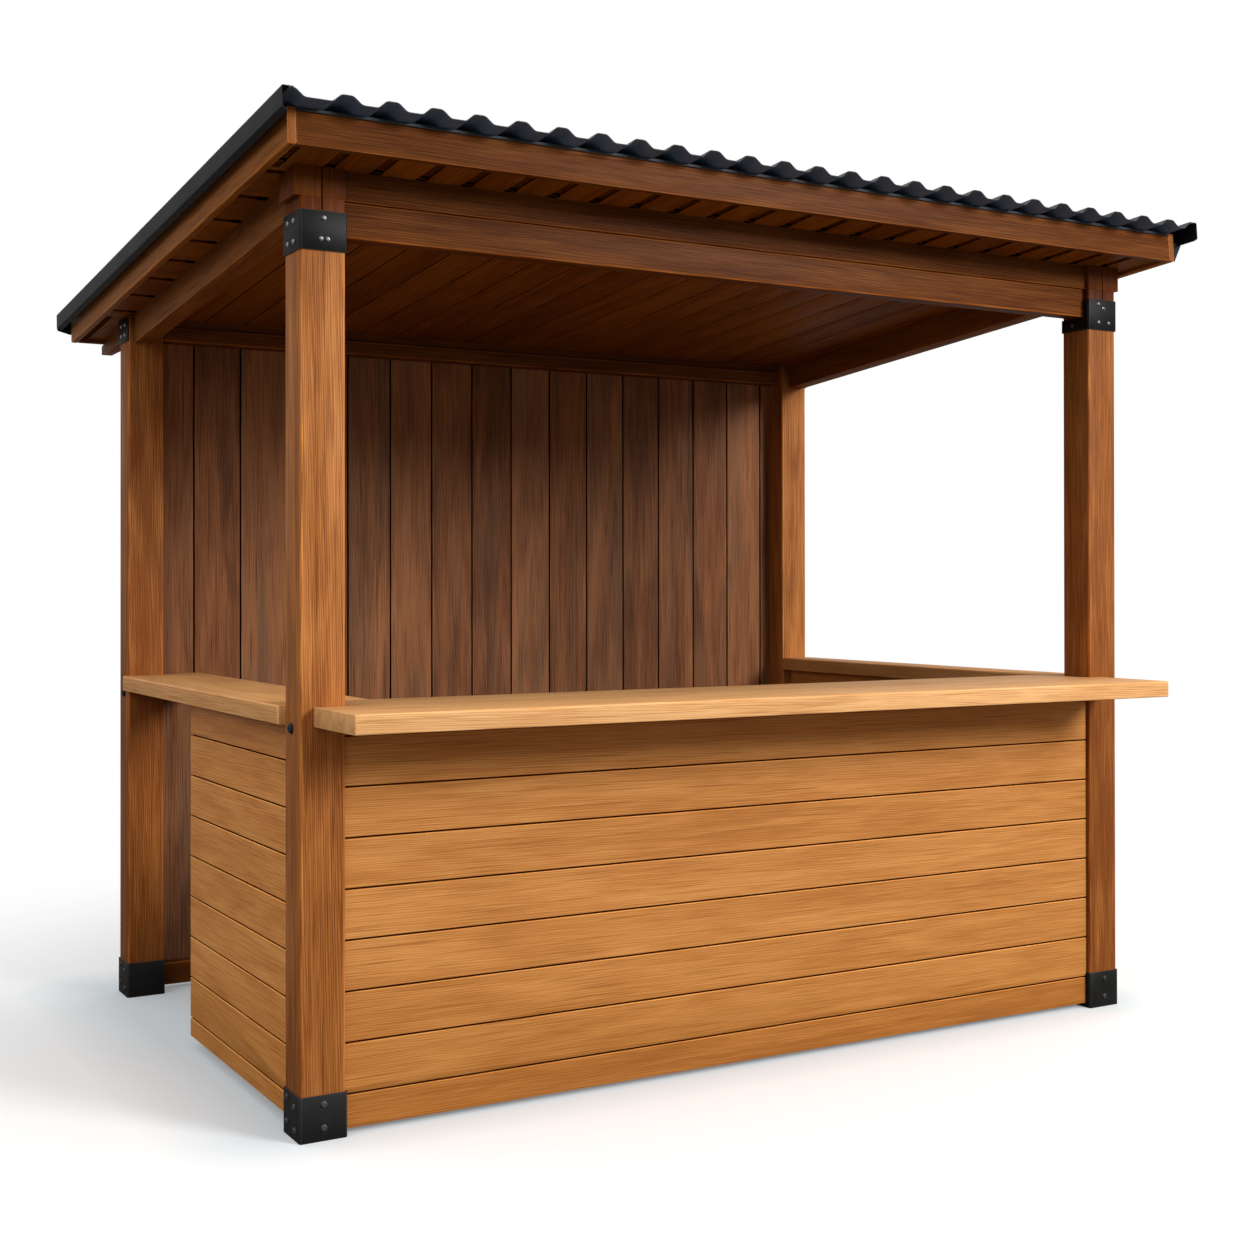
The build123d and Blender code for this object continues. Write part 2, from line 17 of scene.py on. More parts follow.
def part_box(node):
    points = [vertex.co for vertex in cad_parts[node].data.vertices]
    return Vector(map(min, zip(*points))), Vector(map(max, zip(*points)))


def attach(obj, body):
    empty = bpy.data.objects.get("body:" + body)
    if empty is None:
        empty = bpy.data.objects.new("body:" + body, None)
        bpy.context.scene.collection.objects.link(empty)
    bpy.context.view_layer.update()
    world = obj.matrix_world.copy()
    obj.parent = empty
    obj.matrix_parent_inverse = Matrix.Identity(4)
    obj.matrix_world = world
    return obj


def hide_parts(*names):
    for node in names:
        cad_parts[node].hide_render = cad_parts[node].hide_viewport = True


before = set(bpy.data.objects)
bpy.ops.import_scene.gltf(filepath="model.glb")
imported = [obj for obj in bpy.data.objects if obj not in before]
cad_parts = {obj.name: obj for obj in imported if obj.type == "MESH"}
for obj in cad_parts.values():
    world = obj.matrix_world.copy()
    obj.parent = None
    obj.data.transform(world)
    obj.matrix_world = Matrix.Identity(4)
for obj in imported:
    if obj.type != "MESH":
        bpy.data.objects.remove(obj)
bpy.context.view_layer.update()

# %% [markdown]
# ## Selections first
# An operator works on whatever is selected, so each step starts from an empty selection and
# then picks its own pieces. These two helpers are used all through the lesson.

# %% Select pieces
def clear_selection():
    if bpy.context.mode != "OBJECT":
        bpy.ops.object.mode_set(mode="OBJECT")
    bpy.ops.object.select_all(action="DESELECT")


def pick(*pieces):
    clear_selection()
    for piece in pieces:
        piece.select_set(True)
    bpy.context.view_layer.objects.active = pieces[0]


clear_selection()

# %% [markdown]
# ## Nodes with less wiring
# A material is a row of small machines: one gives a place, one makes noise, one does a sum,
# one turns a number into a colour. Wiring them by hand is long, so each gets a helper that
# takes fixed values and links alike.

# %% Node helpers
def link(tree, source, target):
    tree.links.new(source, target)


def feed(tree, socket, value):
    """Gives a socket a number, a colour, or the output of another node."""
    if isinstance(value, (int, float)):
        socket.default_value = value
    elif isinstance(value, tuple):
        socket.default_value = (*value, 1.0)
    else:
        link(tree, value, socket)


def math_node(tree, operation, first, second=0.0):
    node = tree.nodes.new("ShaderNodeMath")
    node.operation = operation
    feed(tree, node.inputs[0], first)
    feed(tree, node.inputs[1], second)
    return node.outputs[0]


def ramped(tree, value, start, slope):
    """Rises from 0 at `start` with this slope, and stays between 0 and 1."""
    risen = math_node(tree, "MULTIPLY", math_node(tree, "SUBTRACT", value, start), slope)
    return math_node(tree, "MINIMUM", math_node(tree, "MAXIMUM", risen, 0.0), 1.0)


def colour_ramp(tree, value, stops):
    node = tree.nodes.new("ShaderNodeValToRGB")
    ramp = node.color_ramp
    while len(ramp.elements) < len(stops):
        ramp.elements.new(0.5)
    for element, (position, colour) in zip(ramp.elements, stops):
        element.position = position
        element.color = (*colour, 1.0)
    link(tree, value, node.inputs["Fac"])
    return node.outputs["Color"]


def mixed_colour(tree, blend, factor, first, second):
    node = tree.nodes.new("ShaderNodeMix")
    node.data_type = "RGBA"
    node.blend_type = blend
    feed(tree, node.inputs["Factor"], factor)
    feed(tree, node.inputs["A"], first)
    feed(tree, node.inputs["B"], second)
    return node.outputs["Result"]


def scaled(colour, factor):
    return tuple(min(1.0, channel * factor) for channel in colour)


def object_place(tree):
    return tree.nodes.new("ShaderNodeTexCoord").outputs["Object"]


def new_material(name):
    """A new finish: the material, its node tree and its shader."""
    material = bpy.data.materials.new(name)
    material.use_nodes = True
    return material, material.node_tree, material.node_tree.nodes["Principled BSDF"]


def raise_surface(tree, shader, relief, strength, depth):
    bump = tree.nodes.new("ShaderNodeBump")
    bump.inputs["Strength"].default_value = strength
    bump.inputs["Distance"].default_value = depth
    link(tree, relief, bump.inputs["Height"])
    link(tree, bump.outputs["Normal"], shader.inputs["Normal"])


# %% [markdown]
# ## Noise squeezed into grain
# Noise is the same in every direction, and grain isn't. When the coordinate along a board is
# divided by a large number, each blot of noise is drawn out into a streak of that many times
# its width. Growth rings are different: they run on and wander, which a wave texture does.

# %% Grain noise and grain lines
def squeezed(tree, place, axis, squeeze):
    """Coordinates squeezed along one axis, the grain's; with no axis they stay as they are."""
    mapping = tree.nodes.new("ShaderNodeMapping")
    scales = tuple(1.0 / squeeze if letter == axis else 1.0 for letter in "XYZ")
    mapping.inputs["Scale"].default_value = scales
    link(tree, place, mapping.inputs["Vector"])
    return mapping.outputs["Vector"]


def grain_noise(tree, place, axis, squeeze, scale, detail, roughness=0.5, distortion=0.0):
    noise = tree.nodes.new("ShaderNodeTexNoise")
    noise.inputs["Scale"].default_value = scale
    noise.inputs["Detail"].default_value = detail
    noise.inputs["Roughness"].default_value = roughness
    noise.inputs["Distortion"].default_value = distortion
    link(tree, squeezed(tree, place, axis, squeeze), noise.inputs["Vector"])
    return noise.outputs["Fac"]


def even_noise(tree, place, scale, detail, roughness=0.5):
    return grain_noise(tree, place, None, 1.0, scale, detail, roughness)


def grain_lines(tree, place, axis, squeeze, spacing, wander):
    """Lines that run on along the grain and wander, join and part as growth rings do."""
    wave = tree.nodes.new("ShaderNodeTexWave")
    wave.bands_direction = "DIAGONAL"
    wave.inputs["Scale"].default_value = 0.2 * math.pi / spacing
    wave.inputs["Distortion"].default_value = wander
    wave.inputs["Detail"].default_value = 3.0
    wave.inputs["Detail Scale"].default_value = 0.45
    wave.inputs["Detail Roughness"].default_value = 0.62
    link(tree, squeezed(tree, place, axis, squeeze), wave.inputs["Vector"])
    return wave.outputs["Fac"]


# %% [markdown]
# ## Stained and oiled timber
# Real boards show pattern at several scales: broad waves where the saw crossed the growth
# rings, clouds of colour, streaks a few millimetres wide, and hair-thin pores filled with
# stain. An image would repeat and stretch, so all of them are made from noise. Every board
# carries a random number in an attribute, which moves its noise and shifts its tone.

# %% The grain of one board
board_stride = (11.3, 17.9, 23.1)  # Far enough apart that no two boards share their noise.


def board_place(tree, board, lean):
    """Object coordinates, turned to the roof's slope by `lean` and moved by the board's number."""
    place = object_place(tree)
    if lean:
        turn = tree.nodes.new("ShaderNodeMapping")
        turn.inputs["Rotation"].default_value = (lean, 0.0, 0.0)
        link(tree, place, turn.inputs["Vector"])
        place = turn.outputs["Vector"]
    spread = tree.nodes.new("ShaderNodeVectorMath")
    spread.operation = "SCALE"
    spread.inputs[0].default_value = board_stride
    link(tree, board, spread.inputs["Scale"])
    moved = tree.nodes.new("ShaderNodeVectorMath")
    moved.operation = "ADD"
    link(tree, place, moved.inputs[0])
    link(tree, spread.outputs["Vector"], moved.inputs[1])
    return moved.outputs["Vector"]


def grain(tree, place, axis):
    """The grain's depth of tone, and the streaks and pores that also make its relief."""
    figure = grain_noise(tree, place, axis, squeeze=11.0, scale=8.0, detail=1.0,
                         roughness=0.4, distortion=0.2)
    waves = math_node(tree, "PINGPONG", math_node(tree, "MULTIPLY", figure, 7.0), 0.5)
    clouds = grain_noise(tree, place, axis, squeeze=7.0, scale=17.0, detail=2.0, distortion=0.4)
    streaks = grain_noise(tree, place, axis, squeeze=80.0, scale=190.0, detail=2.0, roughness=0.6)
    pores = grain_noise(tree, place, axis, squeeze=60.0, scale=480.0, detail=2.0, roughness=0.65)
    rings = grain_lines(tree, place, axis, squeeze=45.0, spacing=0.0062, wander=9.0)
    depth = math_node(tree, "MULTIPLY", waves, 0.12)
    for noise, weight in ((clouds, 0.30), (streaks, 0.18), (pores, 0.34), (rings, 0.12)):
        depth = math_node(tree, "ADD", depth, math_node(tree, "MULTIPLY", noise, weight))
    return depth, streaks, pores


# %% [markdown]
# ## Stain, weather and shade
# Three things lie over the grain. Open vessels hold a line of dark stain. A wall that stands
# in the weather turns grey in patches. And a tint that depends on height darkens the timber
# towards the bottom, and paints in the deep shade that soft studio light would fill up: at the
# post tops and head blocks under the roof and on the side panels under their shelf. The back
# wall is kept lighter at its top, painted light against the shade under the roof.

# %% Layers over the grain
def with_vessels(tree, place, axis, colour, dark):
    lines = grain_noise(tree, place, axis, squeeze=110.0, scale=340.0, detail=1.0)
    filled = ramped(tree, lines, start=0.27, slope=8.0)
    return mixed_colour(tree, "MIX", filled, scaled(dark, 0.85), colour)


def with_bloom(tree, place, axis, colour, bloom):
    patches = grain_noise(tree, place, axis, squeeze=12.0, scale=13.0, detail=1.0, distortion=0.2)
    greyed = ramped(tree, patches, start=0.40, slope=3.5)
    return mixed_colour(tree, "MULTIPLY", greyed, colour, bloom)


def with_heights(tree, colour, heights):
    # The colour is multiplied by a tint read off the height: darker towards the bottom, painted
    # shade under the roof and the shelves, and painted light at the back wall's top.
    height = tree.nodes.new("ShaderNodeSeparateXYZ")
    link(tree, object_place(tree), height.inputs["Vector"])
    share = math_node(tree, "MULTIPLY", height.outputs["Z"], 1.0 / roof_height)
    stops = [(level / roof_height, shade) for level, shade in heights]
    return mixed_colour(tree, "MULTIPLY", 1.0, colour, colour_ramp(tree, share, stops))


# %% Timber material
dark_stop, middle_stop, light_stop = 0.37, 0.50, 0.63
bare_roughness, pore_polish, wood_gloss = 0.62, -0.20, 0.07
relief_share, relief_strength, relief_depth = 0.6, 0.35, 0.0010


def timber(name, axis, dark, middle, light, differ, lean=0.0, heights=None, bloom=None):
    """Timber with its grain along one axis; `differ` is how far its boards differ in tone."""
    material, tree, shader = new_material(name)
    attribute = tree.nodes.new("ShaderNodeAttribute")
    attribute.attribute_name = "board"
    board = attribute.outputs["Fac"]
    place = board_place(tree, board, lean)
    depth, streaks, pores = grain(tree, place, axis)
    shift = math_node(tree, "MULTIPLY", math_node(tree, "SUBTRACT", board, 0.5), differ)
    depth = math_node(tree, "ADD", depth, shift)
    stops = ((dark_stop, dark), (middle_stop, middle), (light_stop, light))
    colour = colour_ramp(tree, depth, stops)
    colour = with_vessels(tree, place, axis, colour, dark)
    if bloom:
        colour = with_bloom(tree, place, axis, colour, bloom)
    if heights:
        colour = with_heights(tree, colour, heights)
    link(tree, colour, shader.inputs["Base Color"])

    oiled = math_node(tree, "MULTIPLY", pores, pore_polish)
    link(tree, math_node(tree, "ADD", oiled, bare_roughness), shader.inputs["Roughness"])
    relief = math_node(tree, "ADD", math_node(tree, "MULTIPLY", pores, relief_share),
                       math_node(tree, "MULTIPLY", streaks, relief_share))
    raise_surface(tree, shader, relief, relief_strength, relief_depth)
    shader.inputs["Specular IOR Level"].default_value = wood_gloss
    return material


# %% [markdown]
# ## Nine finishes from one material
# The stall's timber comes in several stains, so one material serves them all and only its
# tones change. Each finish is a dark, a middle and a light tone. The side panels' finish is the
# front panel's made lighter, painted light on the side the weak side lamp reaches, and the
# shelves' finish is the counter's made darker, painted shade. Edges get a lighter copy of
# their finish, a painted highlight. The tint by height, partly painted shade, is a list of
# heights in metres, each with its tint.

# %% The stall's timbers
roof_pitch = math.radians(4.4)
roof_height = 2.6
finishes = {
    "post": ((0.200, 0.060, 0.014), (0.365, 0.128, 0.031), (0.510, 0.205, 0.060)),
    "beam": ((0.066, 0.0165, 0.0027), (0.120, 0.034, 0.0056), (0.178, 0.059, 0.0120)),
    "barge": ((0.115, 0.033, 0.006), (0.200, 0.064, 0.011), (0.285, 0.100, 0.022)),
    "wall": ((0.158, 0.053, 0.021), (0.285, 0.108, 0.043), (0.400, 0.168, 0.072)),
    "ceiling": ((0.110, 0.027, 0.0018), (0.195, 0.054, 0.0030), (0.285, 0.088, 0.0065)),
    "panel": ((0.395, 0.148, 0.034), (0.515, 0.212, 0.055), (0.610, 0.280, 0.084)),
    # The front panel's oak made lighter: painted light on the sides, which the weak side lamp
    # reaches.
    "side_panel": ((0.500, 0.184, 0.041), (0.650, 0.264, 0.067), (0.760, 0.345, 0.102)),
    "counter": ((0.510, 0.232, 0.078), (0.670, 0.350, 0.137), (0.790, 0.455, 0.205)),
    # The counter's oak made darker: painted shade on the shelves' faces turned to the side.
    "shelf": ((0.490, 0.218, 0.071), (0.605, 0.298, 0.110), (0.690, 0.370, 0.150)),
}
boards_differ = {"wall": 0.16, "ceiling": 0.16, "post": 0.20, "barge": 0.20}
# How much lighter a bevel's painted highlight is than its finish.
edge_highlight_lift = {"beam": 2.0, "barge": 1.8, "counter": 1.2, "panel": 1.65, "side_panel": 1.50}
no_tint = (1.0, 1.0, 1.0)
# Tints by height, partly painted shade: the post tops and head blocks dark as under the roof, the
# side panels dark under their shelf, the back wall lighter at its top as painted light; near the
# ground each one only darkens towards the bottom.
height_tint_and_painted_shade = {
    "post": ((0.0, (0.92, 0.87, 0.79)), (0.95, (0.94, 0.90, 0.84)), (1.25, no_tint),
             (2.28, no_tint), (2.35, (0.30, 0.20, 0.08))),
    "panel": ((0.0, (0.78, 0.70, 0.56)), (0.16, (0.88, 0.84, 0.76)), (0.42, no_tint)),
    "side_panel": ((0.0, (0.84, 0.80, 0.70)), (0.30, no_tint), (0.88, no_tint),
                   (1.02, (0.66, 0.62, 0.66))),
    "wall": ((1.0, (0.80, 0.80, 0.80)), (1.7, (0.80, 0.80, 0.80)), (2.15, no_tint)),
}
weathered = {"wall": (0.66, 0.76, 0.92)}
timbers = {}


def finish_of(kind, axis, lean=0.0, worn=False):
    key = f"{kind}_{axis}{'_slope' if lean else ''}{'_edge' if worn else ''}"
    if key not in timbers:
        tones = finishes[kind]
        # The painted highlight for bevels: the same finish, lighter.
        if worn:
            tones = tuple(scaled(colour, edge_highlight_lift.get(kind, 1.45)) for colour in tones)
        timbers[key] = timber(key, axis, *tones, differ=boards_differ.get(kind, 0.08), lean=lean,
                              heights=height_tint_and_painted_shade.get(kind), bloom=weathered.get(kind))
    return timbers[key]


print("timber finishes:", ", ".join(finishes))

# %% [markdown]
# ## Dark joints
# Between two boards the light is lost in a groove of bare, dirty wood. A plain black line
# would look printed on, so each groove is cut for real and only its walls are darker. The
# pale oak keeps a brown joint, and the gaps under the overhangs get some light from below.

# %% Groove materials
def joint_material(name, colour):
    material, tree, shader = new_material(name)
    dust = even_noise(tree, object_place(tree), scale=90.0, detail=3.0)
    tones = colour_ramp(tree, dust, ((0.3, scaled(colour, 0.6)), (0.7, scaled(colour, 1.5))))
    link(tree, tones, shader.inputs["Base Color"])
    shader.inputs["Roughness"].default_value = 0.9
    shader.inputs["Specular IOR Level"].default_value = 0.0
    return material


dark_joint = joint_material("dark_joint", (0.010, 0.004, 0.002))
oak_joint = joint_material("oak_joint", (0.048, 0.011, 0.0016))
shade_joint = joint_material("shade_joint", (0.088, 0.025, 0.0025))

# %% [markdown]
# ## Powder-coated steel and roof metal
# Shoes and collars are satin black, with the fine orange peel of baked powder. The roof
# metal is an anthracite coat with a faint bloom of dust, so its colour drifts slowly. One
# material makes them all: a slow noise for the colour and the gloss, a fine one for the peel.

# %% Coated metal
def coated_metal(name, colour, bloom, roughness, peel, scale, shine, metallic=0.0):
    """A coat that drifts from `colour` to `bloom`, with bumps of height `peel` at this scale."""
    material, tree, shader = new_material(name)
    place = object_place(tree)
    cloud = even_noise(tree, place, scale=6.0, detail=4.0, roughness=0.6)
    tones = colour_ramp(tree, cloud, ((0.3, colour), (0.75, bloom)))
    link(tree, tones, shader.inputs["Base Color"])
    speck = even_noise(tree, place, scale=scale, detail=2.0)
    rough = math_node(tree, "MULTIPLY", cloud, 0.18)
    rough = math_node(tree, "ADD", rough, roughness - 0.09)
    link(tree, rough, shader.inputs["Roughness"])
    raise_surface(tree, shader, speck, strength=peel, depth=0.0005)
    shader.inputs["Specular IOR Level"].default_value = shine
    shader.inputs["Metallic"].default_value = metallic
    return material


def powder_coat(name, colour, bloom, peel=0.25, shine=0.12):
    return coated_metal(name, colour, bloom, 0.42, peel, 700.0, shine)


def roof_coat(name, colour, bloom, roughness, peel=0.12, shine=0.12):
    return coated_metal(name, colour, bloom, roughness, peel, 300.0, shine)


def bolt_coat(name, colour, bloom, roughness, peel=0.15, shine=0.12, metallic=0.0):
    return coated_metal(name, colour, bloom, roughness, peel, 500.0, shine, metallic)


# %% The stall's metals
black_steel = powder_coat("black_steel", (0.004, 0.004, 0.0045), (0.012, 0.012, 0.0125),
                          shine=0.10)
dusty_steel = powder_coat("dusty_steel", (0.006, 0.006, 0.006), (0.018, 0.018, 0.018),
                          shine=0.14)
# The steel's bevelled edges get a lighter coat: a painted highlight.
steel_highlight = powder_coat("black_steel_highlight", (0.030, 0.030, 0.032), (0.055, 0.055, 0.058),
                         peel=0.15)
sheet_metal = roof_coat("sheet_metal", (0.034, 0.039, 0.048), (0.052, 0.058, 0.070),
                        roughness=0.44)
backing_coat = roof_coat("sheet_backing_coat", (0.086, 0.123, 0.196), (0.121, 0.169, 0.262),
                         roughness=0.55, peel=0.10)
trim_metal = roof_coat("trim_metal", (0.0070, 0.0080, 0.0100), (0.0120, 0.0130, 0.0155),
                       roughness=0.46, shine=0.085)
# The trims' bevelled edges get a lighter coat: a painted highlight.
trim_highlight = roof_coat("trim_metal_highlight", (0.060, 0.064, 0.076), (0.095, 0.100, 0.115),
                      roughness=0.42, peel=0.10)
bolt_steel = bolt_coat("bolt_steel", (0.10, 0.10, 0.105), (0.19, 0.19, 0.20),
                       roughness=0.30, metallic=0.85)
# A pale steel that paints in the glint of the side and bracket bolts.
glint_steel = bolt_coat("glint_steel", (0.42, 0.42, 0.44), (0.60, 0.60, 0.62),
                         roughness=0.30, metallic=0.5)
dull_steel = bolt_coat("dull_bolt_steel", (0.035, 0.035, 0.038), (0.075, 0.075, 0.080),
                       roughness=0.34, shine=0.30)
coach_steel = bolt_coat("coach_steel", (0.020, 0.020, 0.022), (0.045, 0.045, 0.048),
                        roughness=0.38, peel=0.2)
print("materials so far:", len(bpy.data.materials))

# %% [markdown]
# ## Working from a CAD piece
# A CAD node is a bag of loose triangles and must stay as it is. A copy is welded, its flat
# faces are joined, and the copy is what gets grooves and soft edges. It then stands for the
# node, which keeps its place in the simulation.

# %% Copy and hand over
weld_distance = 0.00002
flat_angle = math.radians(0.3)


def copy_node(node, name, material):
    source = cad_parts[node]
    piece = bpy.data.objects.new(name, source.data.copy())
    bpy.context.scene.collection.objects.link(piece)
    piece.data.materials.clear()
    piece.data.materials.append(material)
    pick(piece)
    if piece.data.has_custom_normals:
        bpy.ops.mesh.customdata_custom_splitnormals_clear()
    bpy.ops.object.mode_set(mode="EDIT")
    bpy.ops.mesh.select_all(action="SELECT")
    bpy.ops.mesh.remove_doubles(threshold=weld_distance)
    bpy.ops.mesh.dissolve_limited(angle_limit=flat_angle)
    bpy.ops.object.mode_set(mode="OBJECT")
    return piece


def hand_over(piece, node):
    """Lets the piece ride on the stall's one body and, where it has a node, stand for it."""
    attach(piece, "root")
    if node:
        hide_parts(node)
    print(piece.name, "faces:", len(piece.data.polygons))


# %% [markdown]
# ## Edges that catch the light
# No real edge is sharp. A bevel takes every outward corner off and gives the new faces a
# lighter material, a painted highlight. Inward corners are left out by their bevel weight, so
# that the bottom of a groove stays sharp and dark.

# %% Ease the edges
sharp_angle = math.radians(25.0)
smooth_angle = math.radians(40.0)
downward = -0.3


def weigh_corners(piece, below):
    """Marks the outward corners; one that faces down gets only its share `below` of the bevel."""
    shape = bmesh.new()
    shape.from_mesh(piece.data)
    weights = []
    for edge in shape.edges:
        closed = len(edge.link_faces) == 2
        corner = closed and edge.is_convex and edge.calc_face_angle() > sharp_angle
        faces_down = corner and sum(face.normal.z for face in edge.link_faces) < downward
        weights.append(float(corner) * (below if faces_down else 1.0))
    shape.free()
    corners = piece.data.attributes.new("bevel_weight_edge", "FLOAT", "EDGE")
    corners.data.foreach_set("value", weights)


def ease_edges(piece, width, worn, segments=2, below=1.0):
    pick(piece)
    slot = len(piece.data.materials)
    piece.data.materials.append(worn)
    weigh_corners(piece, below)
    modifier = piece.modifiers.new("eased", "BEVEL")
    modifier.width = width
    modifier.segments = segments
    modifier.limit_method = "WEIGHT"
    # The bevel's faces take the lighter material, a painted highlight.
    modifier.material = slot
    bpy.ops.object.modifier_apply(modifier="eased")
    bpy.ops.object.shade_smooth_by_angle(angle=smooth_angle)


# %% [markdown]
# ## Boards out of a slab
# A wall of tongued boards could be laid plank by plank. Cutting the slab is surer here,
# because it keeps every notch and slope of the CAD. One cutter bar is made for each joint,
# the bars are joined, and a single Boolean takes all the grooves out at once. Afterwards
# every face learns which board it belongs to.

# %% Cut grooves and number the boards
def bar(name, centre, size):
    clear_selection()
    bpy.ops.mesh.primitive_cube_add(size=1.0, location=centre)
    piece = bpy.context.active_object
    piece.name = name
    piece.scale = size
    bpy.ops.object.transform_apply(location=True, rotation=False, scale=True)
    return piece


def cut_grooves(piece, cutters, joint):
    pick(*cutters)
    if len(cutters) > 1:
        bpy.ops.object.join()
    cutter = cutters[0]
    cutter.data.materials.clear()
    cutter.data.materials.append(joint)
    pick(piece)
    modifier = piece.modifiers.new("grooves", "BOOLEAN")
    modifier.operation = "DIFFERENCE"
    modifier.solver = "EXACT"
    modifier.material_mode = "TRANSFER"
    modifier.object = cutter
    bpy.ops.object.modifier_apply(modifier="grooves")
    bpy.data.objects.remove(cutter, do_unlink=True)


def number_boards(piece, axis, joints, seed, number=None):
    """Gives every face its board's random number, or the one number that is asked for."""
    dice = random.Random(seed)
    tones = [dice.random() for _ in range(len(joints) + 1)]
    if number is not None:
        tones = [number]
    values = [tones[bisect.bisect(joints, face.center[axis])] for face in piece.data.polygons]
    numbers = piece.data.attributes.new("board", "FLOAT", "FACE")
    numbers.data.foreach_set("value", values)


# %% [markdown]
# ## Posts, beams and boards of the roof frame
# All of these are planed timber, and their shapes are the CAD's. Each copy gets a narrow
# round on every edge, in a lighter tone that paints a highlight. The posts, rafters and barge
# boards are given their numbers one by one, because on the real stall the left post is light
# and the right one dark; the barge boards take the lightest, painted light on their side.

# %% Solid timber
def timber_piece(node, kind, axis, width=0.0022, lean=0.0, number=None):
    piece = copy_node(node, f"{node}_timber", finish_of(kind, axis, lean))
    ease_edges(piece, width, finish_of(kind, axis, lean, worn=True))
    number_boards(piece, 0, [], node, number)
    hand_over(piece, node)


posts = {"post_front_left": 0.52, "post_front_right": 0.02,
         "post_back_left": 0.12, "post_back_right": 0.56}
for node, number in posts.items():
    timber_piece(node, "post", "Z", number=number)
for side in ("left", "right"):
    timber_piece(f"{side}_rafter", "barge", "Y", lean=roof_pitch, number=0.56)
    # The barge boards take the lightest number: painted light on their side.
    timber_piece(f"{side}_barge_board", "barge", "Y", lean=roof_pitch, number=1.0)
for node in ("front_header", "front_plate", "back_plate", "back_top_rail", "back_bottom_rail",
             "front_fascia", "back_fascia", "purlins"):
    timber_piece(node, "beam", "X")

# %% [markdown]
# ## Head blocks
# Each front post ends in a block glued up from two halves, so a fine joint runs down the
# middle of its face and on into the top of the post. One thin bar cuts it in the block and
# another in the post, at the same place and of the same width.

# %% Head blocks with their joint
left_low, left_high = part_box("post_front_left")
left_x, front_y = left_low.x, left_low.y
head_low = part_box("front_post_heads")[0]
joint_inset, joint_width = 0.057, 0.0036
head_joints = {"left": left_x + joint_inset, "right": -left_x - joint_inset}
block_cut = (joint_width, 0.012, 0.3)
post_cut = (joint_width, 0.009, 0.16)

heads = copy_node("front_post_heads", "front_post_heads_timber", finish_of("post", "Z"))
bars = []
for middle in head_joints.values():
    centre = (middle, head_low.y, head_low.z + 0.05)
    bars.append(bar("head_cutter", centre, block_cut))
cut_grooves(heads, bars, dark_joint)
ease_edges(heads, width=0.0012, worn=finish_of("post", "Z", worn=True))
number_boards(heads, 0, [], "heads")
hand_over(heads, "front_post_heads")

for side, middle in head_joints.items():
    cutter = bar("top_cutter", (middle, left_low.y, left_high.z), post_cut)
    cut_grooves(bpy.data.objects[f"post_front_{side}_timber"], [cutter], dark_joint)
    print("joint in the", side, "post at x", round(middle, 3))

# %% [markdown]
# ## Back wall
# Upright boards close the back, with a narrow groove at each joint on both faces. Their
# widths follow the real wall: the boards at the left are wider, and the rest are all alike.

# %% Back wall boards
wall_low, wall_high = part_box("back_wall")
wide_board_joints = [-1.1714, -1.0027, -0.8000, -0.5951]
first_even_joint, board_cover, even_boards = -0.4260, 0.1685, 11
even_board_joints = [first_even_joint + board_cover * number for number in range(even_boards)]
wall_joints = wide_board_joints + even_board_joints
wall_cut = (0.0065, 0.014, 3.0)  # The groove's width, twice its depth, and more than its length.
wall = copy_node("back_wall", "back_wall_boards", finish_of("wall", "Z"))
bars = []
for joint_x in wall_joints:
    for face_y in (wall_low.y, wall_high.y):
        centre = (joint_x, face_y, (wall_low.z + wall_high.z) / 2)
        bars.append(bar("wall_cutter", centre, wall_cut))
cut_grooves(wall, bars, dark_joint)
ease_edges(wall, width=0.0012, worn=finish_of("wall", "Z", worn=True), segments=1)
number_boards(wall, 0, wall_joints, "wall")
hand_over(wall, "back_wall")
print("wall boards:", len(wall_joints) + 1)

# %% [markdown]
# ## Ceiling and soffits
# The boards under the roof follow its slope, so their cutter bars are tilted with it. Inside,
# the boards lie close. Under the overhangs they are set apart, and next to the frame each
# gap goes deep enough to be quite black, as a vent does.

# %% Cut a sloping slab
slab_thickness = 0.020
vent_depth, vent_widening = 0.018, 1.15


def tilted(pieces, low):
    """Turns level cutter bars to the roof's slope about the front lower edge."""
    slope = Matrix.Rotation(-roof_pitch, 4, "X")
    turn = Matrix.Translation(low) @ slope @ Matrix.Translation(-Vector(low))
    for piece in pieces:
        piece.data.transform(turn)
    return pieces


def slope_bars(name, across, joints, middle, size, level):
    """Level bars, one at each joint; across is 0 for bars down the slope, 1 for bars along it."""
    bars = []
    for place in joints:
        centre = [middle[0], middle[1], level]
        centre[across] = place
        bars.append(bar(name, centre, size))
    return bars


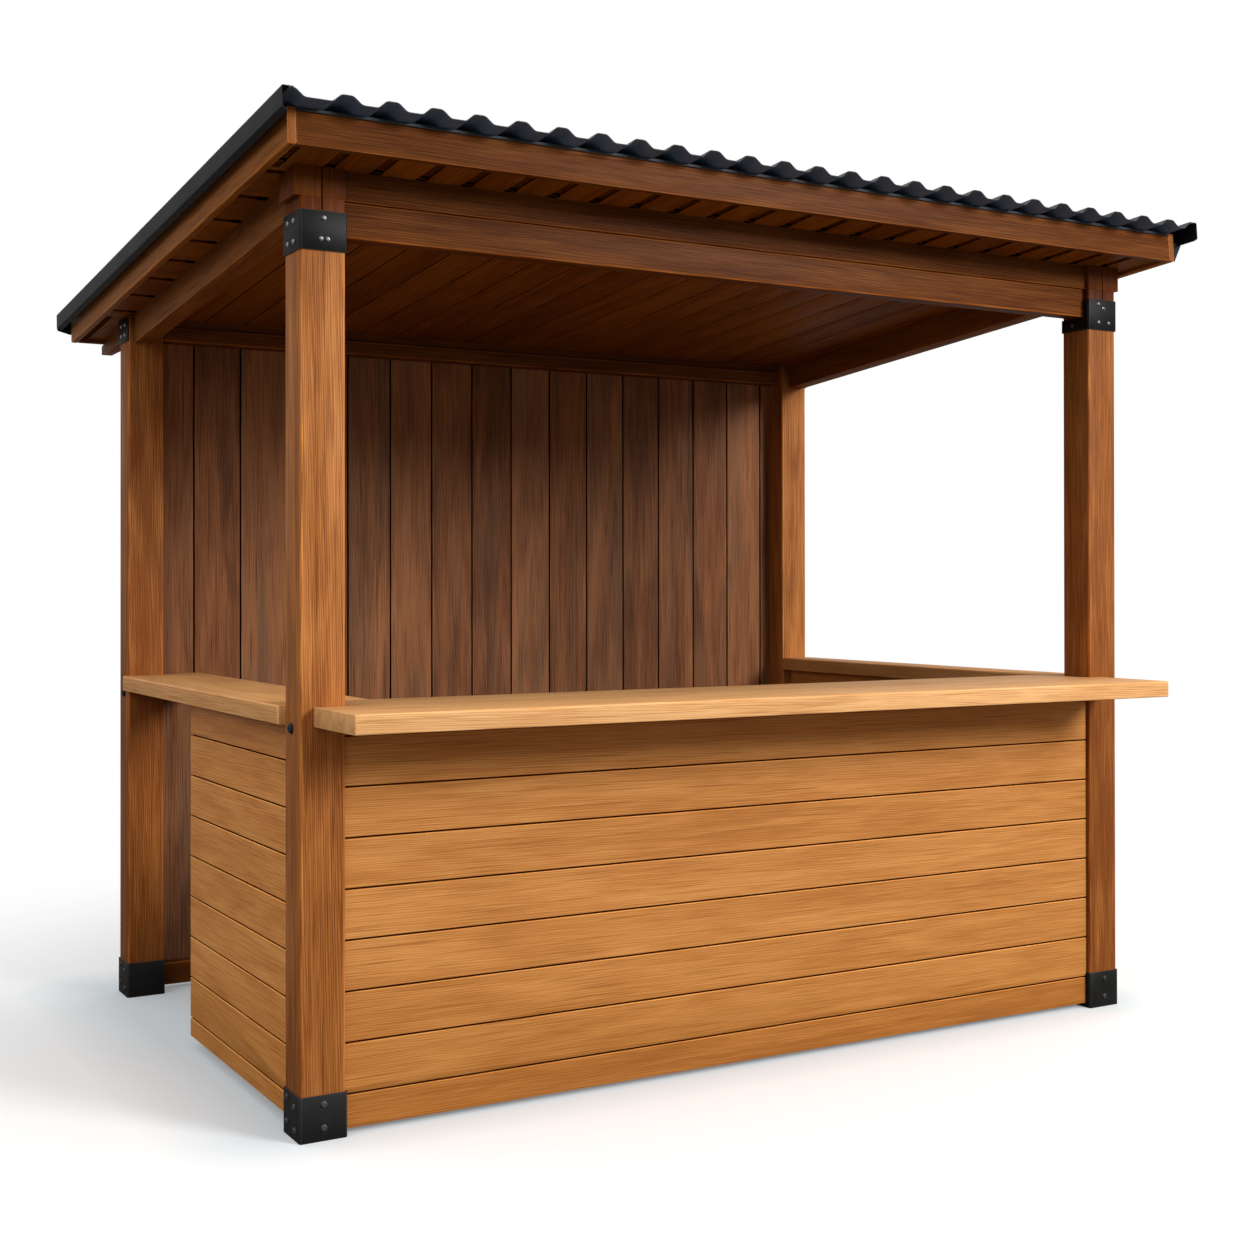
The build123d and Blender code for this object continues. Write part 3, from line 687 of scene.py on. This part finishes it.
def slope_boards(node, name, across, joints, gap, depth, joint, seed, vents=None):
    """Cuts a sloping slab into boards; vents are the middle and the length of the deep gaps."""
    low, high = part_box(node)
    axis, lean = ("Y", roof_pitch) if across == 0 else ("X", 0.0)
    piece = copy_node(node, name, finish_of("ceiling", axis, lean))
    start = Vector((0.0, low.y, high.z - slab_thickness))
    size = [1.0, 2.0 * (high.y - low.y), 2 * depth]
    size[across] = gap
    bars = slope_bars("slope_cutter", across, joints, (low + high) / 2, size, start.z)
    cut_grooves(piece, tilted(bars, start), joint)
    if vents:
        vent_middle, vent_length = vents
        size = [vent_length, vent_length, 2 * vent_depth]
        size[across] = gap * vent_widening
        bars = slope_bars("vent_cutter", across, joints, (vent_middle, vent_middle), size, start.z)
        cut_grooves(piece, tilted(bars, start), dark_joint)
    ease_edges(piece, width=0.0015, worn=finish_of("ceiling", axis, lean, worn=True))
    number_boards(piece, across, joints, seed)
    hand_over(piece, node)


def steps(first, pitch, last):
    return [first + pitch * number for number in range(int((last - first) / pitch) + 1)]


# %% Ceiling and soffit boards
down_slope, along_slope = 0, 1
ceiling_joints = steps(-1.2931, 0.1440, wall_high.x)
front_joints = steps(-1.4777, 0.1295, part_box("front_soffit")[1].x - 0.03)
side_joints = steps(front_y + 0.090, 0.235, -front_y)
close_gap, close_depth = 0.006, 0.010
open_gap, open_depth = 0.030, 0.007
slope_boards("ceiling", "ceiling_boards", down_slope, ceiling_joints, close_gap, close_depth,
             dark_joint, "ceiling")
soffits = {
    "front": (down_slope, front_joints, (front_y + 0.008, 0.022)),
    "back": (down_slope, front_joints, None),
    "left": (along_slope, side_joints, (left_x + 0.010, 0.030)),
    "right": (along_slope, side_joints, (-left_x - 0.010, 0.030)),
}
for side, (across, joints, vents) in soffits.items():
    slope_boards(f"{side}_soffit", f"{side}_soffit_boards", across, joints, open_gap, open_depth,
                 shade_joint, side, vents)
    print(side, "soffit boards:", len(joints) + 1)

# %% [markdown]
# ## Panels under the counter
# Level oak boards with a fine shadow joint. Each board's upper edge is chamfered wide and its
# lower edge hardly at all, and the chamfers take a lighter tone, so a painted highlight runs
# under every dark joint as a light line. The front joints and the side joints were set out
# separately, so their heights differ.

# %% Panel boards
panel_groove_depth, longer_than_panel = 0.007, 4.0


def panel_boards(node, kind, axis, joints, groove, seed):
    low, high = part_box(node)
    piece = copy_node(node, f"{node}_boards", finish_of(kind, axis))
    middle = (low + high) / 2
    thick = 2 * panel_groove_depth
    bars = []
    for height in joints:
        for face in (low, high):
            if axis == "X":
                centre, size = (middle.x, face.y, height), (longer_than_panel, thick, groove)
            else:
                centre, size = (face.x, middle.y, height), (thick, longer_than_panel, groove)
            bars.append(bar("panel_cutter", centre, size))
    cut_grooves(piece, bars, oak_joint)
    worn = finish_of(kind, axis, worn=True)
    ease_edges(piece, width=0.0032, worn=worn, segments=1, below=0.3)
    number_boards(piece, 2, joints, seed)
    print(seed, "boards:", len(joints) + 1)
    hand_over(piece, node)


front_panel_joints = steps(0.104, 0.1312, 1.03)
side_panel_joints = steps(0.093, 0.1230, 1.0)
panel_boards("front_panel", "panel", "X", front_panel_joints, 0.0054, "front panel")
panel_boards("left_panel", "side_panel", "Y", side_panel_joints, 0.0050, "left panel")
panel_boards("right_panel", "side_panel", "Y", side_panel_joints, 0.0050, "right panel")
for side, axis in (("front", "X"), ("left", "Y"), ("right", "Y")):
    timber_piece(f"{side}_panel_frame", "panel", axis, width=0.002)

# %% [markdown]
# ## Counter and shelves
# Thick oak tops, planed smooth. Their edges are rounded by less than two millimetres, in a
# lighter tone that paints a line of highlight. The shelves' oak is the counter's made darker,
# painted shade.

# %% Counter tops
for node, kind, axis in (("counter_top", "counter", "X"), ("left_shelf", "shelf", "Y"),
                         ("right_shelf", "shelf", "Y")):
    timber_piece(node, kind, axis, width=0.0016)

# %% [markdown]
# ## Steel and roof metal
# The folded parts are right as the CAD has them. They only need shading that runs round
# each fold, and a painted highlight: a thin bright line in a lighter coat along each edge. The
# sheet is coated on both sides, and its underside has the paler backing coat, so its faces are
# told apart by normal.

# %% Shoes, collars, brackets
for side in ("left", "right"):
    for node in (f"shoe_front_{side}", f"shoe_back_{side}", f"collar_{side}", f"bracket_{side}"):
        steel = copy_node(node, f"{node}_steel", dusty_steel if "shoe" in node else black_steel)
        ease_edges(steel, width=0.0009, worn=steel_highlight)
        hand_over(steel, node)

# %% Roof sheet and trims
sheet = copy_node("roof_sheet", "roof_sheet_metal", sheet_metal)
sheet.data.materials.append(backing_coat)
for face in sheet.data.polygons:
    face.material_index = int(face.normal.z < downward)
pick(sheet)
bpy.ops.object.shade_smooth_by_angle(angle=smooth_angle)
hand_over(sheet, "roof_sheet")

trims = {"left_verge_flashing": trim_metal, "right_verge_flashing": trim_metal,
         "front_drip_trim": sheet_metal, "back_drip_trim": sheet_metal}
for node, coat in trims.items():
    trim = copy_node(node, f"{node}_metal", coat)
    ease_edges(trim, width=0.0006, worn=trim_highlight, segments=1)
    hand_over(trim, node)

# %% [markdown]
# ## Rolled hem of the verge
# The plate that closes the low end of each verge has its free edge rolled round, so that no
# raw metal shows. The roll is a thin rod with a domed end at the top and the bottom.

# %% Verge hems
hem_radius, hem_low, hem_high = 0.0036, 2.3300, 2.3790
hem_beyond, hem_behind = 0.0024, 0.0004
verge_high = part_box("left_verge_flashing")[1]
hem_x = verge_high.x + hem_beyond
hem_y = verge_high.y - hem_radius - hem_behind
for side, sign in (("left", 1), ("right", -1)):
    clear_selection()
    bpy.ops.mesh.primitive_cylinder_add(
        vertices=16, radius=hem_radius, depth=hem_high - hem_low,
        location=(sign * hem_x, hem_y, (hem_low + hem_high) / 2))
    hem = bpy.context.active_object
    hem.name = f"{side}_verge_hem"
    hem.data.materials.append(trim_metal)
    bpy.ops.object.transform_apply(location=True, rotation=False, scale=False)
    modifier = hem.modifiers.new("domed", "BEVEL")
    modifier.width = hem_radius * 0.8
    modifier.segments = 3
    modifier.limit_method = "ANGLE"
    modifier.angle_limit = math.radians(60.0)
    pick(hem)
    bpy.ops.object.modifier_apply(modifier="domed")
    bpy.ops.object.shade_smooth_by_angle(angle=smooth_angle)
    hand_over(hem, None)

# %% [markdown]
# ## Bolts
# One button-head bolt on a washer is modelled and copied to every hole. The head is a short
# cylinder: its rim is bevelled into a dome and its top is inset and sunk for the socket.

# %% Bolt
def top_first(face):
    """The key that finds the flat top, which has many sides, among the faces of the dome."""
    return face.center.z + (0.001 if len(face.vertices) > 4 else 0.0)


def make_washer(radius):
    thickness = 0.0015
    bpy.ops.mesh.primitive_cylinder_add(
        vertices=24, radius=radius, depth=thickness, location=(0, 0, thickness / 2))
    washer = bpy.context.active_object
    modifier = washer.modifiers.new("rim", "BEVEL")
    modifier.width = 0.0004
    modifier.segments = 2
    pick(washer)
    bpy.ops.object.modifier_apply(modifier="rim")
    return washer


def make_bolt(name, radius, height, washer_radius, material):
    dome, rim, socket = height * 0.55, radius * 0.12, height * 0.35
    clear_selection()
    bpy.ops.mesh.primitive_cylinder_add(
        vertices=20, radius=radius, depth=height, location=(0, 0, height / 2))
    head = bpy.context.active_object
    head.name = name
    pick(head)
    bpy.ops.object.mode_set(mode="EDIT")
    bpy.ops.mesh.select_mode(type="FACE")
    bpy.ops.mesh.select_all(action="DESELECT")
    bpy.ops.object.mode_set(mode="OBJECT")
    for face in head.data.polygons:
        face.select = face.normal.z > 0.9
    bpy.ops.object.mode_set(mode="EDIT")
    bpy.ops.mesh.bevel(offset=dome, segments=4, profile=0.6)
    bpy.ops.object.mode_set(mode="OBJECT")
    top = max(head.data.polygons, key=top_first)
    for face in head.data.polygons:
        face.select = face.index == top.index
    bpy.ops.object.mode_set(mode="EDIT")
    bpy.ops.mesh.inset(thickness=rim)
    bpy.ops.mesh.extrude_region_move(TRANSFORM_OT_translate={"value": (0, 0, -socket)})
    bpy.ops.object.mode_set(mode="OBJECT")
    pick(head, make_washer(washer_radius))
    bpy.ops.object.join()
    bpy.ops.object.transform_apply(location=True, rotation=True, scale=True)
    bpy.ops.object.shade_smooth_by_angle(angle=math.radians(35.0))
    head.data.materials.clear()
    head.data.materials.append(material)
    print(name, "faces:", len(head.data.polygons))
    return head


# %% Copy a bolt to its places
left_face, front_face = (-1, 0, 0), (0, -1, 0)
right_face, back_face = (1, 0, 0), (0, 1, 0)


def set_bolts(name, pattern, places):
    """Copies the pattern to each place, turned to the side it looks out of."""
    copies = []
    for place, outward in places:
        copy = bpy.data.objects.new(name, pattern.data.copy())
        bpy.context.scene.collection.objects.link(copy)
        turn = Vector(outward).to_track_quat("Z", "Y").to_matrix().to_4x4()
        copy.data.transform(Matrix.Translation(place) @ turn)
        copies.append(copy)
    pick(*copies)
    bpy.ops.object.join()
    copies[0].name = name
    print(name, "set:", len(places))
    hand_over(copies[0], None)


small = {"radius": 0.0050, "height": 0.0042, "washer_radius": 0.0066}
small_bolt = make_bolt("small_bolt", **small, material=bolt_steel)
glint_bolt = make_bolt("glint_bolt", **small, material=glint_steel)
large_bolt = make_bolt("large_bolt", radius=0.0072, height=0.0055, washer_radius=0.0088,
                       material=dull_steel)
coach_bolt = make_bolt("coach_bolt", radius=0.0120, height=0.0090, washer_radius=0.0155,
                       material=coach_steel)

# %% [markdown]
# ## Bolts on the collars
# Each collar is bolted through its front and its sides. The bolts at the sides are pale, a
# painted glint, and the front ones are darker. The two collars aren't set out alike: the left
# one has three front bolts and the right one four, each at its own inset from the post's edge.

# %% Collar bolts
right_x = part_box("post_front_right")[1].x
back_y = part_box("post_back_left")[1].y
plate = 0.004
plate_left, plate_right = left_x - plate, right_x + plate
plate_front, plate_back = front_y - plate, back_y + plate

collar_side_places = []
for height in (2.337, 2.284):
    for depth in (0.040, 0.085):
        collar_side_places.append(((plate_left, front_y + depth, height), left_face))
        collar_side_places.append(((plate_right, front_y + depth, height), right_face))
set_bolts("collar_side_bolts", glint_bolt, collar_side_places)

collar_front_places = []
for inset, height in ((0.060, 2.342), (0.052, 2.289), (0.070, 2.289)):
    collar_front_places.append(((left_x + inset, plate_front, height), front_face))
for inset, height in ((0.077, 2.345), (0.055, 2.332), (0.077, 2.284), (0.031, 2.284)):
    collar_front_places.append(((right_x - inset, plate_front, height), front_face))
set_bolts("collar_bolts", small_bolt, collar_front_places)

inner_reach, inner_depth, inner_height = 0.124, 0.072, 2.2805
collar_inner_places = [
    ((right_x - inner_reach, front_y + inner_depth, inner_height), left_face),
    ((left_x + inner_reach, front_y + inner_depth, inner_height), right_face),
]
set_bolts("collar_inner_bolts", small_bolt, collar_inner_places)

# %% [markdown]
# ## Bolts on the shoes and brackets
# A shoe has two larger, dull bolts above each other on its outer face and four on its side.
# A bracket has four of the pale bolts, with the same painted glint.

# %% Shoe and bracket bolts
post_width = 0.120
shoe_bolt_places = []
for face_y, outward in ((plate_front, front_face), (plate_back, back_face)):
    for middle in (left_x + post_width / 2, right_x - post_width / 2):
        for height in (0.094, 0.034):
            shoe_bolt_places.append(((middle, face_y, height), outward))
for face_x, outward in ((plate_left, left_face), (plate_right, right_face)):
    for post_y in (front_y, back_y - post_width):
        for depth, height in ((0.035, 0.086), (0.090, 0.099), (0.030, 0.028), (0.092, 0.036)):
            shoe_bolt_places.append(((face_x, post_y + depth, height), outward))
set_bolts("shoe_bolts", large_bolt, shoe_bolt_places)

bracket_low, bracket_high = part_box("bracket_left")
margin = 0.024
bracket_bolt_places = []
for face_x, outward in ((bracket_low.x, left_face), (-bracket_low.x, right_face)):
    for depth in (0.035, 0.085):
        for height in (bracket_low.z + margin, bracket_high.z - margin):
            bracket_bolt_places.append(((face_x, back_y - post_width + depth, height), outward))
set_bolts("bracket_bolts", glint_bolt, bracket_bolt_places)

# %% [markdown]
# ## Coach bolts under the shelf
# One black coach bolt shows on the outer face of each left post, just under the shelf. The
# right posts are given the same, because their outer faces don't show.

# %% Coach bolts
coach_bolt_places = []
for face_x, outward in ((left_x, left_face), (right_x, right_face)):
    coach_bolt_places.append(((face_x, front_y + 0.068, 1.043), outward))
    coach_bolt_places.append(((face_x, back_y - 0.065, 1.040), outward))
set_bolts("coach_bolts", coach_bolt, coach_bolt_places)
for pattern in (small_bolt, glint_bolt, large_bolt, coach_bolt):
    bpy.data.objects.remove(pattern, do_unlink=True)

# %% [markdown]
# ## The studio floor
# A pale sheet of paper catches the shadow. It fades out with distance, so there is no
# horizon. Close to the stall a painted shadow makes its tone a little cooler and darker.
# Bounced light meets a darker paper than the camera sees, so that the floor lights the stall
# only a little from below.

# %% Shader helpers
def mixed(tree, factor, first, second):
    node = tree.nodes.new("ShaderNodeMixShader")
    feed(tree, node.inputs["Fac"], factor)
    link(tree, first, node.inputs[1])
    link(tree, second, node.inputs[2])
    return node.outputs["Shader"]


def matt(tree, colour):
    node = tree.nodes.new("ShaderNodeBsdfDiffuse")
    feed(tree, node.inputs["Color"], colour)
    return node.outputs["BSDF"]


def beyond(tree, coordinate, middle, half):
    """How far a point of the floor lies outside the stall's footprint along one axis."""
    offset = math_node(tree, "ABSOLUTE", math_node(tree, "SUBTRACT", coordinate, middle))
    return math_node(tree, "MAXIMUM", math_node(tree, "SUBTRACT", offset, half), 0.0)


def added_squares(tree, first, second):
    return math_node(tree, "ADD", math_node(tree, "MULTIPLY", first, first),
                     math_node(tree, "MULTIPLY", second, second))


# %% Floor
bpy.ops.mesh.primitive_grid_add(x_subdivisions=8, y_subdivisions=8, size=80.0, location=(0, 0, 0))
floor = bpy.context.active_object
floor.name = "studio_floor"
paper = bpy.data.materials.new("studio_paper")
paper.use_nodes = True
tree = paper.node_tree
tree.nodes.clear()
place = object_place(tree)
distance = tree.nodes.new("ShaderNodeVectorMath")
distance.operation = "LENGTH"
link(tree, place, distance.inputs[0])
fade_start, fade_end = 1.6, 3.6
fade = tree.nodes.new("ShaderNodeMapRange")
fade.interpolation_type = "SMOOTHSTEP"
fade.inputs["From Min"].default_value = fade_start
fade.inputs["From Max"].default_value = fade_end
link(tree, distance.outputs["Value"], fade.inputs["Value"])

# %% The paper's painted shadow round the stall
# Painted shadow: near the stall's footprint the paper is cooler and darker, fading out within 0.3
# m.
painted_shadow_tones = ((0.0, (0.60, 0.68, 0.74)), (0.30, (0.92, 0.95, 0.97)))
bounced_tone = (0.17, 0.165, 0.16)
glow_share = 0.20
position = tree.nodes.new("ShaderNodeSeparateXYZ")
link(tree, place, position.inputs["Vector"])
gap_x = beyond(tree, position.outputs["X"], middle=-0.06, half=1.40)
gap_y = beyond(tree, position.outputs["Y"], middle=0.03, half=0.90)
apart = math_node(tree, "SQRT", added_squares(tree, gap_x, gap_y))
paper_with_painted_shadow = colour_ramp(tree, apart, painted_shadow_tones)
shine = tree.nodes.new("ShaderNodeEmission")
shine.inputs["Strength"].default_value = 1.0
seen_paper = mixed(tree, glow_share, matt(tree, paper_with_painted_shadow), shine.outputs["Emission"])
camera_ray = tree.nodes.new("ShaderNodeLightPath").outputs["Is Camera Ray"]
paper_surface = mixed(tree, camera_ray, matt(tree, bounced_tone), seen_paper)
clear = tree.nodes.new("ShaderNodeBsdfTransparent")
surface = mixed(tree, fade.outputs["Result"], paper_surface, clear.outputs["BSDF"])
link(tree, surface, tree.nodes.new("ShaderNodeOutputMaterial").inputs["Surface"])
floor.data.materials.append(paper)
print("the floor fades from", fade_start, "to", fade_end, "m")

# %% [markdown]
# ## The world
# What lights the stall is a soft dome, dim and warm below the horizon and bright at the top.
# The camera doesn't see it: for the camera, and for rays that pass through something clear,
# the world is plain white, so the white background adds no light to the stall.

# %% World
world = bpy.data.worlds.new("studio_world")
bpy.context.scene.world = world
world.use_nodes = True
tree = world.node_tree
tree.nodes.clear()


def background(tree, colour):
    node = tree.nodes.new("ShaderNodeBackground")
    feed(tree, node.inputs["Color"], colour)
    node.inputs["Strength"].default_value = 1.0
    return node.outputs["Background"]


dome_tones = ((0.46, (0.26, 0.24, 0.22)), (0.56, (0.48, 0.47, 0.46)), (1.0, (1.15, 1.14, 1.13)))
sky = tree.nodes.new("ShaderNodeSeparateXYZ")
link(tree, tree.nodes.new("ShaderNodeTexCoord").outputs["Generated"], sky.inputs["Vector"])
raised = math_node(tree, "ADD", math_node(tree, "MULTIPLY", sky.outputs["Z"], 0.5), 0.5)
glow = background(tree, colour_ramp(tree, raised, dome_tones))
white = background(tree, (1.0, 1.0, 1.0))
paths = tree.nodes.new("ShaderNodeLightPath").outputs
seen = math_node(tree, "MAXIMUM", paths["Is Camera Ray"], paths["Is Transmission Ray"])
out = tree.nodes.new("ShaderNodeOutputWorld")
link(tree, mixed(tree, seen, glow, white), out.inputs["Surface"])

# %% [markdown]
# ## The lamps
# A catalogue picture has one large soft lamp in front and to the right, which gives the
# stall its light side and its soft shadow, and a weak one at the left that opens the shade.

# %% Lamps
def soft_lamp(name, place, aim, size, power, colour):
    data = bpy.data.lights.new(name, "AREA")
    data.shape = "DISK"
    data.size = size
    data.energy = power
    data.color = colour
    lamp = bpy.data.objects.new(name, data)
    bpy.context.scene.collection.objects.link(lamp)
    lamp.location = place
    lamp.rotation_euler = (Vector(aim) - Vector(place)).to_track_quat("-Z", "Y").to_euler()
    print(name, "power:", power, "W")


soft_lamp("key_light", place=(6.0, -11.5, 6.3), aim=(0.0, 0.0, 1.0), size=4.6, power=1620.0,
          colour=(1.0, 0.98, 0.95))
soft_lamp("side_light", place=(-7.0, -3.5, 5.4), aim=(0.0, 0.0, 1.2), size=4.0, power=88.0,
          colour=(1.0, 0.98, 0.96))

# %% [markdown]
# ## The camera
# The lens, the place and the shift were worked out from the picture's own lines: upright
# posts stay upright because the camera is almost level and the frame is shifted instead.

# %% Camera
camera_place = (-2.8548, -5.1186, 1.4096)
yaw, tip, roll = math.radians(30.06), math.radians(90.26), math.radians(-0.06)
camera_data = bpy.data.cameras.new("camera")
camera_data.sensor_width = 36.0
camera_data.lens = 48.68
camera_data.shift_y = -0.0398
camera_data.clip_end = 300.0
camera = bpy.data.objects.new("camera", camera_data)
bpy.context.scene.collection.objects.link(camera)
turn = Matrix.Rotation(-yaw, 4, "Z") @ Matrix.Rotation(tip, 4, "X") @ Matrix.Rotation(roll, 4, "Z")
camera.matrix_world = Matrix.Translation(camera_place) @ turn
bpy.context.scene.camera = camera
bpy.context.scene.view_settings.view_transform = "Standard"
print("camera at", camera_place, "with a lens of", round(camera_data.lens, 2), "mm")

# %% [markdown]
# ## Finish
# Dressing a part must not change its size. The last line clears the selection.

# %% Finish
clear_selection()
